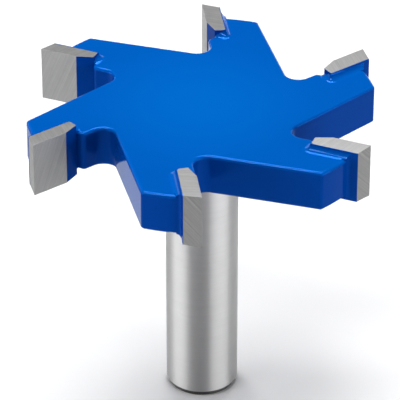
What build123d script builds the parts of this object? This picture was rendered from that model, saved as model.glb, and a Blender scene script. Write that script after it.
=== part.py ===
from build123d import *
from math import cos, radians, sin, sqrt, tan
import os

# Surfacing router bit, in millimetres and degrees.
# The origin is the centre of the shank's end, and +Z runs up the axis to the cutting face.
# Seen from above, looking down on the cutting face, the bit turns counter-clockwise.

# Shank
shank_diameter = 12.7
shank_length = 50.0
shank_chamfer_width = 0.55
shank_chamfer_height = 1.05
shank_root_fillet = 1.5

# Winged plate
wing_count = 6
first_wing_angle = -90.0
cutting_diameter = 65.2
plate_inset = 2.15
plate_thickness = 7.3
plate_edge_rounding = 0.6
underside_chamfer = 0.35

# Gullet ahead of each tip: a long trailing edge, a round root and a short pocket edge
tail_angle = 19.2
tail_corner_margin = 0.1
gullet_root_radius = 2.3
pocket_edge_length = 5.87
pocket_edge_angle = 8.1
pocket_nose_reach = 1.43
pocket_nose_angle = 121.5
pocket_nose_rounding = 1.0

# Carbide tip
rake_angle = 7.4
rake_face_length = 6.71
tip_thickness = 2.99
tip_bevel_length = 2.9
tip_bevel_depth = 1.06
tip_corner_rounding = 0.5
radial_relief_angle = 21.2
face_relief_angle = 4.0
tip_above_plate = 1.4
tip_below_plate = 1.2

# Raised seat around the back and the inner end of each tip, and its lug outside the plate's rim
seat_land = 0.1
seat_fillet = 1.5
underside_fillet = 0.8
seat_end_turn = 22.0
seat_end_setback = 0.1
lug_thickness = 0.15
lug_fillet = 0.8
largest_fillet_share = 0.95
largest_blend_share = 0.8

# Heights
plate_bottom = shank_length
plate_top = plate_bottom + plate_thickness
tip_bottom = plate_bottom - tip_below_plate
tip_top = plate_top + tip_above_plate
relief_drop = tip_thickness * tan(radians(face_relief_angle))
seat_bottom = tip_bottom + relief_drop
seat_top = tip_top - relief_drop
seat_end_length = (tip_thickness - tip_bevel_depth - seat_end_setback) * cos(radians(seat_end_turn))
seat_fillet_height = min(seat_fillet, largest_fillet_share * (seat_top - plate_top))
seat_fillet_reach = sqrt(seat_fillet**2 - (seat_fillet - seat_fillet_height) ** 2)
seat_fillet_below = min(underside_fillet, largest_fillet_share * (plate_bottom - seat_bottom))

# Radii and lengths
cutting_radius = cutting_diameter / 2
plate_radius = cutting_radius - plate_inset
tip_length = rake_face_length + tip_bevel_length
outer_relief = tip_thickness * tan(radians(radial_relief_angle))
wing_pitch = 360 / wing_count
tail_corner_rounding = plate_edge_rounding + tail_corner_margin
clear_of_head = 2 * cutting_radius


def heading(angle):
    """A unit vector in the wing's plane."""
    return Vector(cos(radians(angle)), sin(radians(angle)))


# Directions at a tip, in the plane of a wing whose cutting corner lies on the X axis
outward = heading(rake_angle)
inward = outward * -1
forward = heading(rake_angle + 90)
backward = forward * -1
end_facing = heading(rake_angle + 180 - seat_end_turn)
end_run = heading(rake_angle + 90 - seat_end_turn)


def on_tip(along, behind):
    """A point given by its distance in from the cutting corner and its distance behind the rake face."""
    return Vector(cutting_radius, 0) + inward * along + backward * behind


tip_back_corner = on_tip(tip_length, tip_thickness)
tip_bevel_corner = on_tip(tip_length, tip_bevel_depth)
tip_outer_back = on_tip(outer_relief, tip_thickness)
lug_outer_back = on_tip(outer_relief, tip_thickness + lug_thickness)
lug_blend = min(lug_fillet, largest_blend_share * (lug_outer_back.length - plate_radius))
lug_foot = tip_thickness + lug_thickness + lug_blend
seat_rim_radius = plate_radius - plate_edge_rounding - tail_corner_margin

# Corners of the gullet, in the same plane as the tip whose rake face opens into it
tail_corner = heading(wing_pitch - tail_angle) * plate_radius
pocket_nose = tip_bevel_corner + heading(pocket_nose_angle) * pocket_nose_reach
gullet_root = pocket_nose - heading(pocket_edge_angle) * pocket_edge_length
trailing_edge = (tail_corner - gullet_root).normalized()
inside_tip = tip_bevel_corner - heading(pocket_nose_angle) * (tip_thickness / 6)

os.makedirs("parts", exist_ok=True)

with BuildSketch() as gullet:
    with BuildLine():
        Polyline(
            inside_tip,
            pocket_nose,
            gullet_root,
            tail_corner + trailing_edge * cutting_radius,
            heading(wing_pitch / 2) * 2 * clear_of_head,
            on_tip(-clear_of_head, tip_thickness / 2),
            close=True,
        )
    make_face()
    fillet(gullet.vertices().sort_by_distance(gullet_root)[0], gullet_root_radius)
    fillet(gullet.vertices().sort_by_distance(pocket_nose)[0], pocket_nose_rounding)

with BuildSketch() as tip_outline:
    with BuildLine():
        Polyline(
            on_tip(0, 0),
            on_tip(rake_face_length, 0),
            tip_bevel_corner,
            tip_back_corner,
            tip_outer_back,
            close=True,
        )
    make_face()
    fillet(tip_outline.vertices().sort_by_distance(tip_back_corner)[0], tip_corner_rounding)

# What a raised seat may cover: the flat of the plate, and a lug which backs the tip over the rounded rim
with BuildSketch() as seat_outline:
    Circle(plate_radius)
    with BuildLine():
        Polyline(
            on_tip(outer_relief, tip_thickness / 2),
            lug_outer_back,
            on_tip(tip_length, tip_thickness + lug_thickness),
            on_tip(tip_length, tip_thickness / 2),
            close=True,
        )
    make_face()
    rim_corner = seat_outline.vertices().sort_by(Axis.Y)[0]
    fillet(rim_corner, lug_blend)
    with BuildLine():
        Polyline(
            on_tip(-tip_thickness, tip_thickness / 2),
            on_tip(-tip_thickness, lug_foot),
            on_tip(tip_length, lug_foot),
            on_tip(tip_length, tip_thickness / 2),
            close=True,
        )
    make_face(mode=Mode.INTERSECT)
    Circle(seat_rim_radius)

# Section of the raised seat: X is the distance from the tip's wall and Y is the height.
# A narrow land is level with the tip's back edge, and a fillet runs from it to the plate's face.
with BuildSketch() as seat_section:
    with BuildLine():
        above = (seat_land, plate_top + seat_fillet_height)
        below = (seat_land, plate_bottom - seat_fillet_below)
        toe_above = (seat_land + seat_fillet_reach, plate_top)
        toe_below = (seat_land + seat_fillet_below, plate_bottom)
        Polyline(
            below,
            (seat_land, seat_bottom),
            (0, seat_bottom),
            (0, seat_top),
            (seat_land, seat_top),
            above,
        )
        RadiusArc(above, toe_above, -seat_fillet)
        Line(toe_above, toe_below)
        RadiusArc(toe_below, below, -seat_fillet_below)
    make_face()

seat_walls = (
    (Plane(origin=on_tip(0, tip_thickness), x_dir=backward, z_dir=inward), tip_length),
    (Plane(origin=tip_back_corner, x_dir=end_facing, z_dir=end_run), seat_end_length),
)
corner_start = on_tip(tip_length - tip_corner_rounding, tip_thickness)
corner_fill = Plane(origin=corner_start, x_dir=backward, z_dir=inward)

# One raised seat: along the tip's back, round its inner back corner and across its inner end,
# where it turns in towards the gullet and so runs out below the tip's bevel
with BuildPart() as seat:
    for wall, run in seat_walls:
        with BuildSketch(wall):
            add(seat_section.sketch)
        extrude(amount=run)
    with BuildSketch(corner_fill):
        with Locations((0, seat_bottom)):
            Rectangle(tip_corner_rounding, seat_top - seat_bottom, align=(Align.MAX, Align.MIN))
    extrude(amount=tip_corner_rounding)
    with BuildSketch(Plane(origin=tip_back_corner, x_dir=backward, z_dir=inward)):
        add(seat_section.sketch)
    revolve(axis=Axis(tip_back_corner, (0, 0, -1)), revolution_arc=90 + seat_end_turn)
    with BuildSketch(Plane.XY.offset(tip_bottom)):
        add(seat_outline.sketch)
    extrude(amount=tip_top - tip_bottom, mode=Mode.INTERSECT)
    with BuildSketch(Plane.XY.offset(tip_bottom)):
        add(gullet.sketch)
    extrude(amount=tip_top - tip_bottom, mode=Mode.SUBTRACT)

# Head and shank, turned and milled from one bar
with BuildPart() as tool_body:
    with BuildSketch(Plane.XY.offset(plate_bottom)) as plate_outline:
        Circle(plate_radius)
        with PolarLocations(0, wing_count, start_angle=first_wing_angle):
            add(gullet.sketch, mode=Mode.SUBTRACT)
        for index in range(wing_count):
            tail = heading(first_wing_angle + index * wing_pitch - tail_angle) * plate_radius
            fillet(plate_outline.vertices().sort_by_distance(tail)[0], tail_corner_rounding)
    extrude(amount=plate_thickness)
    fillet(tool_body.faces().sort_by(Axis.Z)[-1].edges(), plate_edge_rounding)
    chamfer(tool_body.faces().sort_by(Axis.Z)[0].edges(), underside_chamfer)
    with PolarLocations(0, wing_count, start_angle=first_wing_angle):
        add(seat.part)
    with BuildSketch(Plane.XY.offset(tip_bottom)):
        with PolarLocations(0, wing_count, start_angle=first_wing_angle):
            add(tip_outline.sketch)
    extrude(amount=tip_top - tip_bottom, mode=Mode.SUBTRACT)
    with BuildSketch(Plane.XY):
        Circle(shank_diameter / 2)
    extrude(amount=shank_length)
    shank_end = tool_body.faces().sort_by(Axis.Z)[0]
    chamfer(shank_end.edges(), shank_chamfer_width, shank_chamfer_height, reference=shank_end)
    underside_edges = tool_body.edges().filter_by_position(Axis.Z, plate_bottom, plate_bottom)
    shank_root = underside_edges.sort_by_distance((shank_diameter / 2, 0, plate_bottom))[0]
    fillet(shank_root, shank_root_fillet)

tool_body.part.label = "tool_body"
export_step(tool_body.part, "parts/tool_body.step")

# One tip in the plane of its wing: its outline, relieved above and below from its front edges
tip_side = Plane(origin=on_tip(-tip_thickness, 0), x_dir=backward, z_dir=inward)
with BuildPart() as tip_blank:
    with BuildSketch(Plane.XY.offset(tip_bottom)):
        add(tip_outline.sketch)
    extrude(amount=tip_top - tip_bottom)
    with BuildSketch(tip_side):
        with BuildLine():
            Polyline(
                (-tip_thickness, tip_bottom - relief_drop),
                (-tip_thickness, tip_top + relief_drop),
                (2 * tip_thickness, tip_top - 2 * relief_drop),
                (2 * tip_thickness, tip_bottom + 2 * relief_drop),
                close=True,
            )
        make_face()
    extrude(amount=tip_length + 2 * tip_thickness, mode=Mode.INTERSECT)

for index in range(wing_count):
    wing_plane = Plane.XY.rotated((0, 0, first_wing_angle + index * wing_pitch))
    with BuildPart(wing_plane) as carbide_tip:
        add(tip_blank.part)
    carbide_tip.part.label = f"carbide_tip_{index + 1}"
    export_step(carbide_tip.part, f"parts/{carbide_tip.part.label}.step")
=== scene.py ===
"""Surfacing router bit with six carbide tips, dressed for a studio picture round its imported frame.

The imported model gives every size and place. This file gives the winged head its gloss coat, the shank
its ground steel and the tips their ground carbide, and sets up the floor, the light and the camera.
"""

from __future__ import annotations

import logging
import math
from dataclasses import dataclass, field
from enum import Enum

import bmesh
import bpy
from mathutils import Matrix, Vector

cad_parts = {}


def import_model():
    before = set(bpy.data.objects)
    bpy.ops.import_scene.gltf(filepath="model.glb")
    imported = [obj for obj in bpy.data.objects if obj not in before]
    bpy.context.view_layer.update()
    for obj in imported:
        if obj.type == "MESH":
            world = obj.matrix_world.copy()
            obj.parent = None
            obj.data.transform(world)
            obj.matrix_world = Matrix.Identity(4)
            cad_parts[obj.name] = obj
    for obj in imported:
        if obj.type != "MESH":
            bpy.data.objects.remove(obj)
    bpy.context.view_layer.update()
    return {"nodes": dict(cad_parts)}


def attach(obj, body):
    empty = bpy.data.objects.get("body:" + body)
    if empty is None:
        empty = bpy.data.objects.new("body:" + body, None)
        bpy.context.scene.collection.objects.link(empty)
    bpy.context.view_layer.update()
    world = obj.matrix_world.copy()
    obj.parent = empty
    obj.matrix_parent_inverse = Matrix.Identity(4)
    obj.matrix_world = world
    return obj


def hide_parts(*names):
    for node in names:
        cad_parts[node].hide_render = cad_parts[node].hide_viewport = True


LOG = logging.getLogger("router_bit")
MM = 0.001
BODY = "root"
HEAD_FOOT = 48.5 * MM
MERGE_DISTANCE = 0.001 * MM
FLAT_ANGLE = math.radians(0.4)
NORMAL_WEIGHT = 60
SOFT_EDGE_FACES = 2
SRGB_TOE_END = 0.04045
SRGB_TOE_SLOPE = 12.92
SRGB_OFFSET = 0.055
SRGB_POWER = 2.4


class Slot(Enum):
    """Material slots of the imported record."""

    COATED_STEEL = "coated_steel"
    CARBIDE = "carbide"
    GROUND_SHANK = "ground_shank"


class Axis(Enum):
    """Scales that draw a pattern out along one axis of its own coordinates."""

    ALONG_Y = (1.0, 0.012, 1.0)
    ROUND_Z = (0.05, 0.05, 1.0)


def linear(red: int, green: int, blue: int) -> tuple[float, float, float, float]:
    """Turn an sRGB colour into a linear one.

    Args:
        red: Red from 0 to 255.
        green: Green from 0 to 255.
        blue: Blue from 0 to 255.

    Returns:
        The colour as linear red, green, blue and an alpha of 1.
    """

    def channel(value: int) -> float:
        """Turn one channel from 0 to 255 into its linear share."""
        share = value / 255
        if share <= SRGB_TOE_END:
            return share / SRGB_TOE_SLOPE
        return ((share + SRGB_OFFSET) / (1 + SRGB_OFFSET)) ** SRGB_POWER

    return channel(red), channel(green), channel(blue), 1.0


class NodeSheet:
    """A thin helper that adds nodes to one tree and joins them."""

    COLOUR_MIX_INPUTS = (0, 6, 7)
    COLOUR_MIX_OUTPUT = 2

    def __init__(self, tree: bpy.types.NodeTree) -> None:
        """Start from a tree with no nodes.

        Args:
            tree: The node tree to fill.
        """
        self.tree = tree
        tree.nodes.clear()

    def add(self, kind: str, settings: dict | None = None, **inputs: object) -> bpy.types.Node:
        """Add one node.

        Args:
            kind: The node's type name.
            settings: Properties of the node itself.
            inputs: Values or output sockets for its inputs, by socket name with _ for a space.

        Returns:
            The new node.
        """
        node = self.tree.nodes.new(kind)
        for name, value in (settings or {}).items():
            setattr(node, name, value)
        for name, value in inputs.items():
            self.feed(node, name.replace("_", " "), value)
        return node

    def feed(self, node: bpy.types.Node, socket: str | int, value: object) -> None:
        """Set an input socket, or link it where the value is itself a socket.

        Args:
            node: The node that owns the socket.
            socket: The socket's name or number.
            value: A plain value, or the output socket to link from.
        """
        if isinstance(value, bpy.types.NodeSocket):
            self.tree.links.new(value, node.inputs[socket])
        else:
            node.inputs[socket].default_value = value

    def math(self, operation: str, first: object, second: object = 0.0) -> bpy.types.NodeSocket:
        """Add a Math node.

        Args:
            operation: The operation's name, such as MULTIPLY.
            first: The first value or socket.
            second: The second value or socket.

        Returns:
            The node's output socket.
        """
        node = self.add("ShaderNodeMath", {"operation": operation})
        self.feed(node, 0, first)
        self.feed(node, 1, second)
        return node.outputs[0]

    def between(
        self, value: object, given: tuple[float, float], wanted: tuple[object, object],
        smooth: bool = False,
    ) -> bpy.types.NodeSocket:
        """Carry a value from one range over to another and hold it there at both ends.

        Args:
            value: The value or socket.
            given: The range that it comes from.
            wanted: The range that it goes to, as values or sockets.
            smooth: Whether it eases in and out.

        Returns:
            The node's output socket.
        """
        kind = "SMOOTHSTEP" if smooth else "LINEAR"
        node = self.add(
            "ShaderNodeMapRange", {"interpolation_type": kind}, Value=value, From_Min=given[0],
            From_Max=given[1], To_Min=wanted[0], To_Max=wanted[1],
        )
        return node.outputs["Result"]

    def blend(self, share: object, first: object, second: object) -> bpy.types.NodeSocket:
        """Blend two colours.

        Args:
            share: The share of the second colour, as a value or socket.
            first: The first colour or socket.
            second: The second colour or socket.

        Returns:
            The colour socket.
        """
        node = self.add("ShaderNodeMix", {"data_type": "RGBA"})
        for socket, value in zip(self.COLOUR_MIX_INPUTS, (share, first, second)):
            self.feed(node, socket, value)
        return node.outputs[self.COLOUR_MIX_OUTPUT]

    def vector(self, operation: str, first: object, second: object = (0.0, 0.0, 0.0)) -> bpy.types.Node:
        """Add a Vector Math node.

        Args:
            operation: The operation's name, such as CROSS_PRODUCT.
            first: The first vector or socket.
            second: The second vector or socket.

        Returns:
            The node, which gives a Vector or a Value.
        """
        node = self.add("ShaderNodeVectorMath", {"operation": operation})
        self.feed(node, 0, first)
        self.feed(node, 1, second)
        return node

    def level_part(self, place: object) -> bpy.types.NodeSocket:
        """Give a vector with its height taken away.

        Args:
            place: The vector or socket.

        Returns:
            The vector socket.
        """
        return self.vector("MULTIPLY", place, (1.0, 1.0, 0.0)).outputs["Vector"]


class SharedEffects:
    """Shader node groups that more than one finish uses, each built once."""

    CLOUD_DETAIL = 4.0
    CLOUD_ROUGHNESS = 0.55
    CLOUD_LEVELS = (0.3, 0.7)
    LINE_DETAIL = 3.0
    LINE_ROUGHNESS = 0.6
    LINE_GAIN = 4.0

    def __init__(self) -> None:
        """Build the groups."""
        self.mottle = self._mottle()
        self.face_plane = self._face_plane()
        self.grind_lines = self._grind_lines()

    @staticmethod
    def _group(
        name: str, inputs: dict[str, tuple[str, object]], outputs: dict[str, str]
    ) -> bpy.types.NodeTree:
        """Make an empty shader group with its sockets.

        Args:
            name: The group's name.
            inputs: Socket type and default value by input name.
            outputs: Socket type by output name.

        Returns:
            The new node tree.
        """
        tree = bpy.data.node_groups.new(name, "ShaderNodeTree")
        for label, (kind, value) in inputs.items():
            socket = tree.interface.new_socket(name=label, in_out="INPUT", socket_type=kind)
            if value is not None:
                socket.default_value = value
        for label, kind in outputs.items():
            tree.interface.new_socket(name=label, in_out="OUTPUT", socket_type=kind)
        return tree

    def _mottle(self) -> bpy.types.NodeTree:
        """Soft clouds that move a value between two ends.

        Returns:
            The group's node tree.
        """
        tree = self._group(
            "soft_mottle",
            {
                "Vector": ("NodeSocketVector", None),
                "Scale": ("NodeSocketFloat", 200.0),
                "Low": ("NodeSocketFloat", 0.0),
                "High": ("NodeSocketFloat", 1.0),
            },
            {"Value": "NodeSocketFloat"},
        )
        sheet = NodeSheet(tree)
        given = sheet.add("NodeGroupInput").outputs
        clouds = sheet.add(
            "ShaderNodeTexNoise", {"noise_dimensions": "3D"}, Vector=given["Vector"],
            Scale=given["Scale"], Detail=self.CLOUD_DETAIL, Roughness=self.CLOUD_ROUGHNESS,
        )
        ends = (given["Low"], given["High"])
        sheet.add("NodeGroupOutput", Value=sheet.between(clouds.outputs["Fac"], self.CLOUD_LEVELS, ends))
        return tree

    def _face_plane(self) -> bpy.types.NodeTree:
        """Coordinates that lie in the plane of each flat face, turned by a slant.

        Returns:
            The group's node tree, whose vector runs across the face in X and up it in Y.
        """
        tree = self._group(
            "face_plane",
            {
                "Vector": ("NodeSocketVector", None),
                "Normal": ("NodeSocketVector", (0.0, 0.0, 1.0)),
                "Slant": ("NodeSocketFloat", 0.0),
            },
            {"Vector": "NodeSocketVector"},
        )
        sheet = NodeSheet(tree)
        given = sheet.add("NodeGroupInput").outputs
        level = sheet.vector("CROSS_PRODUCT", (0.0, 0.0, 1.0), given["Normal"])
        across = sheet.vector("NORMALIZE", level.outputs["Vector"]).outputs["Vector"]
        upward = sheet.vector("CROSS_PRODUCT", given["Normal"], across).outputs["Vector"]
        flat = sheet.add(
            "ShaderNodeCombineXYZ",
            X=sheet.vector("DOT_PRODUCT", given["Vector"], across).outputs["Value"],
            Y=sheet.vector("DOT_PRODUCT", given["Vector"], upward).outputs["Value"],
        )
        turned = sheet.add(
            "ShaderNodeVectorRotate", {"rotation_type": "Z_AXIS"}, Vector=flat.outputs[0],
            Angle=given["Slant"],
        )
        sheet.add("NodeGroupOutput", Vector=turned.outputs[0])
        return tree

    def _grind_lines(self) -> bpy.types.NodeTree:
        """Fine parallel lines, as a grinding wheel leaves them, drawn out along one axis.

        Returns:
            The group's node tree, which gives a shade near 1 and a height from 0 to 1.
        """
        tree = self._group(
            "grind_lines",
            {
                "Vector": ("NodeSocketVector", None),
                "Stretch": ("NodeSocketVector", (1.0, 1.0, 1.0)),
                "Fine Scale": ("NodeSocketFloat", 9000.0),
                "Band Scale": ("NodeSocketFloat", 1500.0),
                "Contrast": ("NodeSocketFloat", 0.1),
            },
            {"Shade": "NodeSocketFloat", "Height": "NodeSocketFloat"},
        )
        sheet = NodeSheet(tree)
        given = sheet.add("NodeGroupInput").outputs
        drawn = sheet.vector("MULTIPLY", given["Vector"], given["Stretch"])
        layers = []
        for scale in ("Fine Scale", "Band Scale"):
            noise = sheet.add(
                "ShaderNodeTexNoise", {"noise_dimensions": "3D"}, Vector=drawn.outputs[0],
                Scale=given[scale], Detail=self.LINE_DETAIL, Roughness=self.LINE_ROUGHNESS,
            )
            layers.append(noise.outputs["Fac"])
        height = sheet.math("MULTIPLY", sheet.math("ADD", *layers), 0.5)
        centred = sheet.math("MULTIPLY", sheet.math("SUBTRACT", height, 0.5), self.LINE_GAIN)
        shade = sheet.math("ADD", sheet.math("MULTIPLY", centred, given["Contrast"]), 1.0)
        sheet.add("NodeGroupOutput", Shade=shade, Height=height)
        return tree


@dataclass(frozen=True)
class Finish:
    """What every finish has: a name, a colour and the groups that it draws on."""

    effects: SharedEffects
    name: str
    colour: tuple[float, float, float, float]

    def material(self) -> bpy.types.Material:
        """Build the finish as a node material.

        Returns:
            The new material.
        """
        made = bpy.data.materials.new(self.name)
        made.use_nodes = True
        sheet = NodeSheet(made.node_tree)
        place = sheet.add("ShaderNodeTexCoord").outputs["Object"]
        surface = sheet.add("ShaderNodeBsdfPrincipled")
        self.dress(sheet, surface, place)
        sheet.add("ShaderNodeOutputMaterial", Surface=surface.outputs[0])
        return made

    def dress(self, sheet: NodeSheet, surface: bpy.types.Node, place: bpy.types.NodeSocket) -> None:
        """Give the surface its colour and texture.

        Args:
            sheet: The material's nodes.
            surface: The Principled BSDF.
            place: The object's coordinates.
        """
        raise NotImplementedError

    def shaded(self, sheet: NodeSheet, shade: bpy.types.NodeSocket) -> bpy.types.NodeSocket:
        """Multiply the finish's colour by a shade.

        Args:
            sheet: The material's nodes.
            shade: A value near 1.

        Returns:
            The colour socket.
        """
        scaled = sheet.add("ShaderNodeVectorMath", {"operation": "SCALE"})
        sheet.feed(scaled, 0, self.colour[:3])
        sheet.feed(scaled, "Scale", shade)
        return scaled.outputs[0]

    def group(self, sheet: NodeSheet, tree: bpy.types.NodeTree, **inputs: object) -> bpy.types.Node:
        """Place a shared group.

        Args:
            sheet: The material's nodes.
            tree: The group's tree.
            inputs: Its input values or sockets, by name with _ for a space.

        Returns:
            The group's node.
        """
        node = sheet.add("ShaderNodeGroup", {"node_tree": tree})
        for name, value in inputs.items():
            sheet.feed(node, name.replace("_", " "), value)
        return node

    def uneven_gloss(
        self, sheet: NodeSheet, surface: bpy.types.Node, place: bpy.types.NodeSocket, scale: float,
        least: float, spread: float,
    ) -> None:
        """Let the surface's roughness wander in soft clouds.

        Args:
            sheet: The material's nodes.
            surface: The Principled BSDF.
            place: The object's coordinates.
            scale: The number of clouds in a metre.
            least: The least roughness.
            spread: How far it rises above the least.
        """
        clouds = self.group(
            sheet, self.effects.mottle, Vector=place, Scale=scale, Low=least, High=least + spread
        )
        sheet.feed(surface, "Roughness", clouds.outputs["Value"])

    def relief(
        self, sheet: NodeSheet, height: bpy.types.NodeSocket, strength: float, depth: float
    ) -> bpy.types.NodeSocket:
        """Turn a height into a bumped normal.

        Args:
            sheet: The material's nodes.
            height: The height from 0 to 1.
            strength: How much the bump counts.
            depth: The depth that a height of 1 stands for, in metres.

        Returns:
            The normal socket.
        """
        bump = sheet.add("ShaderNodeBump", Height=height, Strength=strength, Distance=depth)
        return bump.outputs["Normal"]


@dataclass(frozen=True)
class GlossCoat(Finish):
    """Smooth blue coat over the head, with a faint ripple in its gloss and glossier rounded edges.

    The base colour is painted lighter at the centre of the top face, a painted pool of light, and painted
    darker down the walls, a painted shade. The edges are told by the rise of the surface's normal, from 0
    on a wall to 1 on the top face.
    """

    name: str = "gloss_blue_coat"
    colour: tuple[float, float, float, float] = linear(0, 94, 191)
    # painted light: a lighter colour at the centre of the top face
    painted_centre_light: tuple[float, float, float, float] = linear(0, 104, 201)
    painted_light_radii: tuple[float, float] = (2 * MM, 24 * MM)
    # painted shade: a darker colour on the walls, where less light falls
    painted_wall_shade: tuple[float, float, float, float] = linear(0, 55, 135)
    painted_shade_rise: tuple[float, float] = (0.1, 0.9)
    roughness: float = 0.08
    roughness_spread: float = 0.06
    mottle_scale: float = 220.0
    index: float = 1.08
    gloss_level: float = 1.0
    metallic: float = 0.12
    gloss_tint: tuple[float, float, float, float] = (0.3, 0.65, 1.0, 1.0)
    ripple_scale: float = 900.0
    ripple_strength: float = 0.06
    ripple_depth: float = 0.02 * MM
    edge_gloss: float = 0.3
    edge_gloss_roughness: float = 0.05
    edge_rise: tuple[float, float, float, float] = (0.58, 0.7, 0.88, 0.96)

    def dress(self, sheet: NodeSheet, surface: bpy.types.Node, place: bpy.types.NodeSocket) -> None:
        """Give the surface its colour and texture. See Finish.dress."""
        surface.inputs["IOR"].default_value = self.index
        surface.inputs["Specular IOR Level"].default_value = self.gloss_level
        surface.inputs["Specular Tint"].default_value = self.gloss_tint
        surface.inputs["Metallic"].default_value = self.metallic
        # Painted light: the top face turns lighter towards the centre.
        radius = sheet.vector("LENGTH", sheet.level_part(place)).outputs["Value"]
        away = sheet.between(radius, self.painted_light_radii, (0.0, 1.0), smooth=True)
        flat = sheet.blend(away, self.painted_centre_light, self.colour)
        # Painted shade: the walls, told by their normal, take a darker colour than the top.
        facing = sheet.add("ShaderNodeNewGeometry").outputs["Normal"]
        rise = sheet.add("ShaderNodeSeparateXYZ", Vector=facing).outputs["Z"]
        painted_light_and_shade = sheet.blend(sheet.between(rise, self.painted_shade_rise, (0.0, 1.0)), self.painted_wall_shade, flat)
        sheet.feed(surface, "Base Color", painted_light_and_shade)
        surface.inputs["Coat Roughness"].default_value = self.edge_gloss_roughness
        risen = sheet.between(rise, self.edge_rise[:2], (0.0, self.edge_gloss), smooth=True)
        below_top = sheet.between(rise, self.edge_rise[2:], (1.0, 0.0), smooth=True)
        sheet.feed(surface, "Coat Weight", sheet.math("MULTIPLY", risen, below_top))
        self.uneven_gloss(sheet, surface, place, self.mottle_scale, self.roughness, self.roughness_spread)
        ripple = self.group(sheet, self.effects.mottle, Vector=place, Scale=self.ripple_scale)
        bumps = self.relief(sheet, ripple.outputs["Value"], self.ripple_strength, self.ripple_depth)
        sheet.feed(surface, "Normal", bumps)


@dataclass(frozen=True)
class GroundCarbide(Finish):
    """Bare ground carbide, with fine slanting lines across each face.

    Of each pair of slants, in degrees, and of contrasts, the first is for the faces and the second for
    the outer ends, which are also painted darker, a painted shade.
    """

    name: str = "ground_carbide"
    colour: tuple[float, float, float, float] = linear(144, 144, 144)
    metallic: float = 0.85
    roughness: float = 0.42
    roughness_spread: float = 0.1
    mottle_scale: float = 900.0
    slants: tuple[float, float] = (22.0, -42.0)
    contrasts: tuple[float, float] = (0.24, 0.42)
    fine_scale: float = 7000.0
    band_scale: float = 2600.0
    line_strength: float = 0.25
    line_depth: float = 0.01 * MM
    end_facing: tuple[float, float] = (0.6, 0.7)
    # painted shade on the outer ends
    painted_end_shade: float = 0.8

    def end_share(
        self, sheet: NodeSheet, place: bpy.types.NodeSocket, normal: bpy.types.NodeSocket
    ) -> bpy.types.NodeSocket:
        """Tell the outer ends, which face away from the bit's axis, from the other faces.

        Args:
            sheet: The material's nodes.
            place: The object's coordinates.
            normal: The surface's normal.

        Returns:
            A share that is 1 on the outer ends and 0 elsewhere.
        """
        outward = sheet.vector("NORMALIZE", sheet.level_part(place)).outputs["Vector"]
        facing = sheet.vector("DOT_PRODUCT", outward, normal).outputs["Value"]
        return sheet.between(facing, self.end_facing, (0.0, 1.0))

    def dress(self, sheet: NodeSheet, surface: bpy.types.Node, place: bpy.types.NodeSocket) -> None:
        """Give the surface its colour and texture. See Finish.dress."""
        surface.inputs["Metallic"].default_value = self.metallic
        normal = sheet.add("ShaderNodeNewGeometry").outputs["Normal"]
        end = self.end_share(sheet, place, normal)
        slants = (math.radians(self.slants[0]), math.radians(self.slants[1]))
        slant = sheet.between(end, (0.0, 1.0), slants)
        flat = self.group(sheet, self.effects.face_plane, Vector=place, Normal=normal, Slant=slant)
        lines = self.group(
            sheet, self.effects.grind_lines, Vector=flat.outputs["Vector"], Stretch=Axis.ALONG_Y.value,
            Fine_Scale=self.fine_scale, Band_Scale=self.band_scale,
            Contrast=sheet.between(end, (0.0, 1.0), self.contrasts),
        )
        # Painted shade: the outer ends are darkened in their colour.
        painted_end_darkening = sheet.between(end, (0.0, 1.0), (1.0, self.painted_end_shade))
        shade = sheet.math("MULTIPLY", lines.outputs["Shade"], painted_end_darkening)
        sheet.feed(surface, "Base Color", self.shaded(sheet, shade))
        self.uneven_gloss(sheet, surface, place, self.mottle_scale, self.roughness, self.roughness_spread)
        grooves = self.relief(sheet, lines.outputs["Height"], self.line_strength, self.line_depth)
        sheet.feed(surface, "Normal", grooves)


@dataclass(frozen=True)
class GroundSteel(Finish):
    """Round-ground steel of the shank, whose marks run round it and draw its highlights out along it.

    The chamfer at its end is painted nearly black, a painted shade, and is told by its height.
    """

    name: str = "ground_steel"
    colour: tuple[float, float, float, float] = linear(184, 184, 184)
    roughness: float = 0.49
    roughness_spread: float = 0.05
    mottle_scale: float = 260.0
    anisotropy: float = 0.85
    anisotropic_turn: float = 0.25
    fine_scale: float = 4200.0
    band_scale: float = 900.0
    contrast: float = 0.05
    line_strength: float = 0.1
    line_depth: float = 0.004 * MM
    # painted shade on the end chamfer, told by height
    painted_chamfer_shade_span: tuple[float, float] = (0.95 * MM, 1.1 * MM)
    painted_chamfer_shade: float = 0.16

    def dress(self, sheet: NodeSheet, surface: bpy.types.Node, place: bpy.types.NodeSocket) -> None:
        """Give the surface its colour and texture. See Finish.dress."""
        surface.inputs["Metallic"].default_value = 1.0
        surface.inputs["Anisotropic"].default_value = self.anisotropy
        surface.inputs["Anisotropic Rotation"].default_value = self.anisotropic_turn
        round_axis = sheet.add("ShaderNodeTangent", {"direction_type": "RADIAL", "axis": "Z"})
        sheet.feed(surface, "Tangent", round_axis.outputs[0])
        lines = self.group(
            sheet, self.effects.grind_lines, Vector=place, Stretch=Axis.ROUND_Z.value,
            Fine_Scale=self.fine_scale, Band_Scale=self.band_scale, Contrast=self.contrast,
        )
        # Painted shade: the chamfer at the end is darkened in its colour.
        height = sheet.add("ShaderNodeSeparateXYZ", Vector=place).outputs["Z"]
        painted_chamfer_darkening = sheet.between(height, self.painted_chamfer_shade_span, (self.painted_chamfer_shade, 1.0))
        shade = sheet.math("MULTIPLY", lines.outputs["Shade"], painted_chamfer_darkening)
        sheet.feed(surface, "Base Color", self.shaded(sheet, shade))
        self.uneven_gloss(sheet, surface, place, self.mottle_scale, self.roughness, self.roughness_spread)
        marks = self.relief(sheet, lines.outputs["Height"], self.line_strength, self.line_depth)
        sheet.feed(surface, "Normal", marks)


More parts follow.
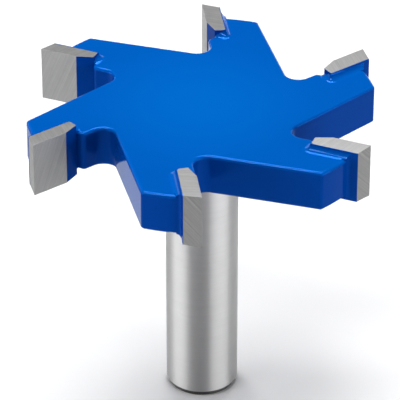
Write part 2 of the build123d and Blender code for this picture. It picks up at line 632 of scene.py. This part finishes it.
@dataclass(frozen=True)
class FloorPaint(Finish):
    """Plain matt white floor."""

    name: str = "floor_paint"
    colour: tuple[float, float, float, float] = (0.96, 0.96, 0.96, 1.0)

    def dress(self, sheet: NodeSheet, surface: bpy.types.Node, place: bpy.types.NodeSocket) -> None:
        """Give the surface its colour and texture. See Finish.dress."""
        surface.inputs["Roughness"].default_value = 1.0
        surface.inputs["Specular IOR Level"].default_value = 0.0
        surface.inputs["Base Color"].default_value = self.colour


@dataclass
class Finishes:
    """The materials of the bit, built once."""

    coat: bpy.types.Material
    carbide: bpy.types.Material
    steel: bpy.types.Material
    floor: bpy.types.Material

    @classmethod
    def build(cls) -> Finishes:
        """Build each finish from its own class.

        Returns:
            The finished materials.
        """
        effects = SharedEffects()
        return cls(
            coat=GlossCoat(effects).material(),
            carbide=GroundCarbide(effects).material(),
            steel=GroundSteel(effects).material(),
            floor=FloorPaint(effects).material(),
        )


@dataclass
class BitPiece:
    """One shown piece of the bit, in metres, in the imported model's frame."""

    nodes: dict[str, bpy.types.Object]
    finishes: Finishes

    @staticmethod
    def object_from(name: str, source: bmesh.types.BMesh) -> bpy.types.Object:
        """Put a bmesh into a new object of the scene.

        Args:
            name: The object's name.
            source: The mesh, which is freed.

        Returns:
            The new object, at the origin.
        """
        mesh = bpy.data.meshes.new(name)
        source.to_mesh(mesh)
        source.free()
        made = bpy.data.objects.new(name, mesh)
        bpy.context.scene.collection.objects.link(made)
        return made

    @staticmethod
    def merged(node: bpy.types.Object) -> bmesh.types.BMesh:
        """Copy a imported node's mesh with its loose triangles merged and its flat faces made whole.

        Args:
            node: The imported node's object.

        Returns:
            The copy.
        """
        copy = bmesh.new()
        copy.from_mesh(node.data)
        for layer in list(copy.loops.layers.float_vector):
            copy.loops.layers.float_vector.remove(layer)
        bmesh.ops.remove_doubles(copy, verts=copy.verts, dist=MERGE_DISTANCE)
        bmesh.ops.dissolve_limit(copy, angle_limit=FLAT_ANGLE, verts=copy.verts, edges=copy.edges)
        return copy

    @staticmethod
    def plain(made: bpy.types.Object) -> bpy.types.Object:
        """Turn an object with modifiers into a plain mesh.

        Args:
            made: The object.

        Returns:
            The same object, with its result as its mesh and no modifiers.
        """
        bpy.context.view_layer.update()
        graph = bpy.context.evaluated_depsgraph_get()
        result = bpy.data.meshes.new_from_object(made.evaluated_get(graph), depsgraph=graph)
        made.modifiers.clear()
        made.data = result
        result.name = made.name
        return made

    @staticmethod
    def clean_normals(made: bpy.types.Object) -> None:
        """Give a piece normals that follow its larger faces.

        Args:
            made: The object.
        """
        clean = made.modifiers.new("clean_normals", "WEIGHTED_NORMAL")
        clean.keep_sharp = True
        clean.weight = NORMAL_WEIGHT

    @classmethod
    def rounded(cls, made: bpy.types.Object, width: float, angle: float = 32.0) -> bpy.types.Object:
        """Soften the sharp edges of a piece and give it clean normals.

        Args:
            made: The object.
            width: The width of each softened edge, in metres.
            angle: The least angle of an edge that is softened, in degrees.

        Returns:
            The same object.
        """
        for face in made.data.polygons:
            face.use_smooth = True
        bevel = made.modifiers.new("soft_edges", "BEVEL")
        bevel.width = width
        bevel.segments = SOFT_EDGE_FACES
        bevel.limit_method = "ANGLE"
        bevel.angle_limit = math.radians(angle)
        bevel.use_clamp_overlap = True
        bevel.harden_normals = False
        cls.clean_normals(made)
        return made

    @staticmethod
    def settle(made: bpy.types.Object, slot: Slot, *stands_for: str) -> None:
        """Fix a finished piece to the bit and report it.

        Args:
            made: The finished piece.
            slot: The record's material slot of its finish.
            stands_for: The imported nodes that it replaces.
        """
        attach(made, BODY)
        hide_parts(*stands_for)
        faces = sum(len(face.vertices) - 2 for face in made.data.polygons)
        LOG.info("%s: %d triangles, %s", made.name, faces, slot.value)


@dataclass
class WingedHead(BitPiece):
    """The coated plate with its six wings, gullets and raised tip seats."""

    cut_height: float = HEAD_FOOT
    edge_softening: float = 0.06 * MM

    def build(self) -> bpy.types.Object:
        """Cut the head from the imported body, soften its edges and coat it.

        Returns:
            The finished head.
        """
        source = self.merged(self.nodes["tool_body"])
        geometry = source.verts[:] + source.edges[:] + source.faces[:]
        bmesh.ops.bisect_plane(
            source, geom=geometry, dist=MERGE_DISTANCE, plane_co=(0.0, 0.0, self.cut_height),
            plane_no=(0.0, 0.0, -1.0), clear_outer=True,
        )
        rim = [edge for edge in source.edges if edge.is_boundary]
        bmesh.ops.contextual_create(source, geom=rim)
        made = self.object_from("winged_head", source)
        made.data.materials.clear()
        made.data.materials.append(self.finishes.coat)
        self.plain(self.rounded(made, self.edge_softening))
        self.settle(made, Slot.COATED_STEEL, "tool_body")
        return made


@dataclass
class Shank(BitPiece):
    """The ground shank, turned from its profile."""

    radius: float = 6.35 * MM
    length: float = HEAD_FOOT
    chamfer_width: float = 0.55 * MM
    chamfer_height: float = 1.05 * MM
    edge_radius: float = 0.12 * MM
    edge_steps: int = 4
    segments: int = 160

    def profile(self) -> list[tuple[float, float]]:
        """Work out the profile from the centre of the end face up to the head.

        Returns:
            Pairs of radius and height, in metres.
        """
        corners = [
            (0.0, 0.0),
            (self.radius - self.chamfer_width, 0.0),
            (self.radius, self.chamfer_height),
            (self.radius, self.length),
            (0.0, self.length),
        ]
        points = [corners[0]]
        for before, corner, after in zip(corners, corners[1:3], corners[2:]):
            points += self.eased(Vector(before), Vector(corner), Vector(after))
        return points + corners[3:]

    def eased(self, before: Vector, corner: Vector, after: Vector) -> list[tuple[float, float]]:
        """Round one corner of the profile.

        Args:
            before: The corner before it.
            corner: The corner to round.
            after: The corner after it.

        Returns:
            The points of the small curve that takes its place.
        """
        start = corner + (before - corner).normalized() * self.edge_radius
        end = corner + (after - corner).normalized() * self.edge_radius
        curve = []
        for step in range(self.edge_steps + 1):
            share = step / self.edge_steps
            point = start.lerp(corner, share).lerp(corner.lerp(end, share), share)
            curve.append((point.x, point.y))
        return curve

    def build(self) -> bpy.types.Object:
        """Turn the profile round the axis.

        Returns:
            The finished shank.
        """
        source = bmesh.new()
        profile = self.profile()
        rings = []
        for radius, height in profile[1:-1]:
            ring = []
            for index in range(self.segments):
                angle = math.tau * index / self.segments
                place = (radius * math.cos(angle), radius * math.sin(angle), height)
                ring.append(source.verts.new(place))
            rings.append(ring)
        for lower, upper in zip(rings, rings[1:]):
            for index in range(self.segments):
                after = (index + 1) % self.segments
                source.faces.new((lower[index], lower[after], upper[after], upper[index]))
        caps = (source.faces.new(list(reversed(rings[0]))), source.faces.new(rings[-1]))
        for face in source.faces:
            face.smooth = face not in caps
        for edge in (*caps[0].edges, *caps[1].edges):
            edge.smooth = False
        made = self.object_from("ground_shank", source)
        made.data.materials.append(self.finishes.steel)
        self.clean_normals(made)
        self.plain(made)
        self.settle(made, Slot.GROUND_SHANK, "tool_body")
        return made


@dataclass
class TipRing(BitPiece):
    """The six carbide tips, one ground blank set round the bit by Geometry Nodes."""

    wings: int = 6
    first_angle: float = -90.0
    edge_softening: float = 0.05 * MM
    edge_angle: float = 18.0
    coated_headings: tuple[float, float] = (112.0, 282.0)
    coated_tilt: float = 0.25

    @property
    def names(self) -> list[str]:
        """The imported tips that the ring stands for."""
        return [f"carbide_tip_{index + 1}" for index in range(self.wings)]

    def is_coated(self, normal: Vector) -> bool:
        """Tell whether the coat covers a face of the blank: its inner bevel, its inner end or its back.

        Args:
            normal: The face's normal, with the wing along X.

        Returns:
            True for a coated face.
        """
        heading = math.degrees(math.atan2(normal.y, normal.x)) % 360.0
        least, most = self.coated_headings
        return abs(normal.z) < self.coated_tilt and least < heading < most

    def blank(self) -> bpy.types.Object:
        """Copy the first packed tip, turned so that its wing lies along X, with softened edges.

        Returns:
            The blank, whose coated faces are marked by a face attribute.
        """
        source = self.merged(self.nodes[self.names[0]])
        source.transform(Matrix.Rotation(math.radians(-self.first_angle), 4, "Z"))
        sharp = self.object_from("carbide_tips", source)
        made = self.plain(self.rounded(sharp, self.edge_softening, angle=self.edge_angle))
        marks = made.data.attributes.new("coated", "BOOLEAN", "FACE")
        marks.data.foreach_set("value", [self.is_coated(face.normal) for face in made.data.polygons])
        return made

    def ring_tree(self) -> tuple[bpy.types.NodeTree, dict[str, str]]:
        """Build the tree that sets the blank round the axis and gives it its finishes.

        Returns:
            The tree, and the identifier of each input socket by name.
        """
        tree = bpy.data.node_groups.new("tip_ring", "GeometryNodeTree")
        kinds = {
            "Blank": "NodeSocketGeometry",
            "Wings": "NodeSocketInt",
            "First Angle": "NodeSocketFloat",
            "Ground Finish": "NodeSocketMaterial",
            "Coat Finish": "NodeSocketMaterial",
        }
        sockets = {
            label: tree.interface.new_socket(name=label, in_out="INPUT", socket_type=kind).identifier
            for label, kind in kinds.items()
        }
        tree.interface.new_socket(name="Tips", in_out="OUTPUT", socket_type="NodeSocketGeometry")
        sheet = NodeSheet(tree)
        given = sheet.add("NodeGroupInput").outputs
        seats = sheet.add("GeometryNodePoints", Count=given["Wings"])
        index = sheet.add("GeometryNodeInputIndex").outputs[0]
        pitch = sheet.math("DIVIDE", math.tau, given["Wings"])
        turn = sheet.math("ADD", sheet.math("MULTIPLY", index, pitch), given["First Angle"])
        turned = sheet.add("ShaderNodeCombineXYZ", Z=turn)
        ring = sheet.add(
            "GeometryNodeInstanceOnPoints", Points=seats.outputs[0], Instance=given["Blank"],
            Rotation=turned.outputs[0],
        )
        whole = sheet.add("GeometryNodeRealizeInstances", Geometry=ring.outputs[0])
        ground = sheet.add(
            "GeometryNodeSetMaterial", Geometry=whole.outputs[0], Material=given["Ground Finish"]
        )
        coated = sheet.add("GeometryNodeInputNamedAttribute", {"data_type": "BOOLEAN"}, Name="coated")
        coat = sheet.add(
            "GeometryNodeSetMaterial", Geometry=ground.outputs[0], Selection=coated.outputs["Attribute"],
            Material=given["Coat Finish"],
        )
        sheet.add("NodeGroupOutput", Tips=coat.outputs[0])
        return tree, sockets

    def build(self) -> bpy.types.Object:
        """Set the tips round the bit.

        Returns:
            The finished ring of tips.
        """
        made = self.blank()
        tree, sockets = self.ring_tree()
        modifier = made.modifiers.new("tip_ring", "NODES")
        modifier.node_group = tree
        modifier[sockets["Wings"]] = self.wings
        modifier[sockets["First Angle"]] = math.radians(self.first_angle)
        modifier[sockets["Ground Finish"]] = self.finishes.carbide
        modifier[sockets["Coat Finish"]] = self.finishes.coat
        self.plain(made)
        self.settle(made, Slot.CARBIDE, *self.names)
        return made


@dataclass(frozen=True)
class Softbox:
    """One large rectangular studio light, with its angles in degrees and its sizes in metres."""

    name: str
    azimuth: float
    elevation: float
    distance: float
    size: tuple[float, float]
    radiance: float
    length_along: tuple[float, float, float] = (1.0, 0.0, 0.0)

    def place(self, target: Vector) -> bpy.types.Object:
        """Set the light up, turned to the bit.

        Args:
            target: The point that it faces.

        Returns:
            The light's object.
        """
        turn, rise = math.radians(self.azimuth), math.radians(self.elevation)
        level = math.cos(rise)
        towards = Vector((math.cos(turn) * level, math.sin(turn) * level, math.sin(rise)))
        length = Vector(self.length_along)
        length = (length - towards * length.dot(towards)).normalized()
        lamp = bpy.data.lights.new(self.name, "AREA")
        lamp.shape = "RECTANGLE"
        lamp.size, lamp.size_y = self.size
        lamp.energy = self.radiance * math.pi * self.size[0] * self.size[1]
        made = bpy.data.objects.new(self.name, lamp)
        made.location = target + towards * self.distance
        made.rotation_euler = Matrix((length, towards.cross(length), towards)).transposed().to_euler()
        bpy.context.scene.collection.objects.link(made)
        return made


@dataclass
class Studio:
    """Plain pale floor, soft light and the camera of the photograph."""

    finishes: Finishes
    target: Vector = field(default_factory=lambda: Vector((-0.341, 0.0, 37.632)) * MM)
    camera_distance: float = 570.736 * MM
    camera_elevation: float = 32.225
    camera_lens: float = 294.105
    camera_sensor: float = 36.0
    camera_clip: tuple[float, float] = (0.01, 100.0)
    floor_size: float = 12.0
    horizon_band: tuple[float, float] = (0.05, 0.25)
    far_side_band: tuple[float, float] = (-0.4, 0.5)
    horizon: float = 1.55
    zenith: float = 0.04
    camera_side: float = 0.25
    softboxes: tuple[Softbox, ...] = (
        Softbox("overhead_key", 240.0, 70.0, 0.8, (0.6, 0.12), 9.8),
        Softbox("back_light", 95.0, 64.0, 0.8, (0.5, 0.3), 12.5),
        Softbox("left_card", 200.0, 5.0, 0.8, (0.78, 0.2), 9.0, (0.0, 1.0, 0.0)),
        Softbox("right_card", -36.0, 5.0, 0.8, (0.9, 0.2), 8.6, (0.0, 1.0, 0.0)),
    )

    def build(self) -> None:
        """Set up the floor, the lights, the surroundings and the camera."""
        self.floor()
        for softbox in self.softboxes:
            softbox.place(self.target)
        self.surroundings()
        self.camera()
        bpy.context.scene.view_settings.view_transform = "Standard"
        LOG.info("studio: %d softboxes", len(self.softboxes))

    def floor(self) -> bpy.types.Object:
        """Lay the floor that the bit stands on.

        Returns:
            The floor's object.
        """
        source = bmesh.new()
        bmesh.ops.create_grid(source, x_segments=1, y_segments=1, size=self.floor_size / 2)
        made = BitPiece.object_from("studio_floor", source)
        made.data.materials.append(self.finishes.floor)
        return made

    def surroundings(self) -> None:
        """Make a studio that is pale at the horizon, and dim overhead and behind the camera."""
        world = bpy.data.worlds.new("studio_surroundings")
        world.use_nodes = True
        sheet = NodeSheet(world.node_tree)
        towards = sheet.add("ShaderNodeTexCoord").outputs["Generated"]
        parts = sheet.add("ShaderNodeSeparateXYZ", Vector=towards).outputs
        horizon = sheet.between(parts["Z"], self.horizon_band, (self.horizon, self.zenith), smooth=True)
        far_side = sheet.between(parts["Y"], self.far_side_band, (self.camera_side, 1.0), smooth=True)
        level = sheet.math("MULTIPLY", horizon, far_side)
        glow = sheet.add("ShaderNodeBackground", Color=(1.0, 1.0, 1.0, 1.0), Strength=level)
        sheet.add("ShaderNodeOutputWorld", Surface=glow.outputs[0])
        bpy.context.scene.world = world

    def camera(self) -> bpy.types.Object:
        """Place the camera at the photograph's viewing angle.

        Returns:
            The camera's object.
        """
        lens = bpy.data.cameras.new("photo_camera")
        lens.lens = self.camera_lens
        lens.sensor_width = self.camera_sensor
        lens.clip_start, lens.clip_end = self.camera_clip
        made = bpy.data.objects.new("photo_camera", lens)
        rise = math.radians(self.camera_elevation)
        towards = Vector((0.0, -math.cos(rise), math.sin(rise)))
        made.location = self.target + towards * self.camera_distance
        made.rotation_euler = (math.pi / 2 - rise, 0.0, 0.0)
        bpy.context.scene.collection.objects.link(made)
        bpy.context.scene.camera = made
        return made


def main() -> None:
    """Build the bit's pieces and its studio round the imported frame."""
    logging.basicConfig(level=logging.INFO, format="%(name)s %(message)s")
    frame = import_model()
    finishes = Finishes.build()
    WingedHead(frame["nodes"], finishes).build()
    Shank(frame["nodes"], finishes).build()
    TipRing(frame["nodes"], finishes).build()
    Studio(finishes).build()


if __name__ == "__main__":
    main()
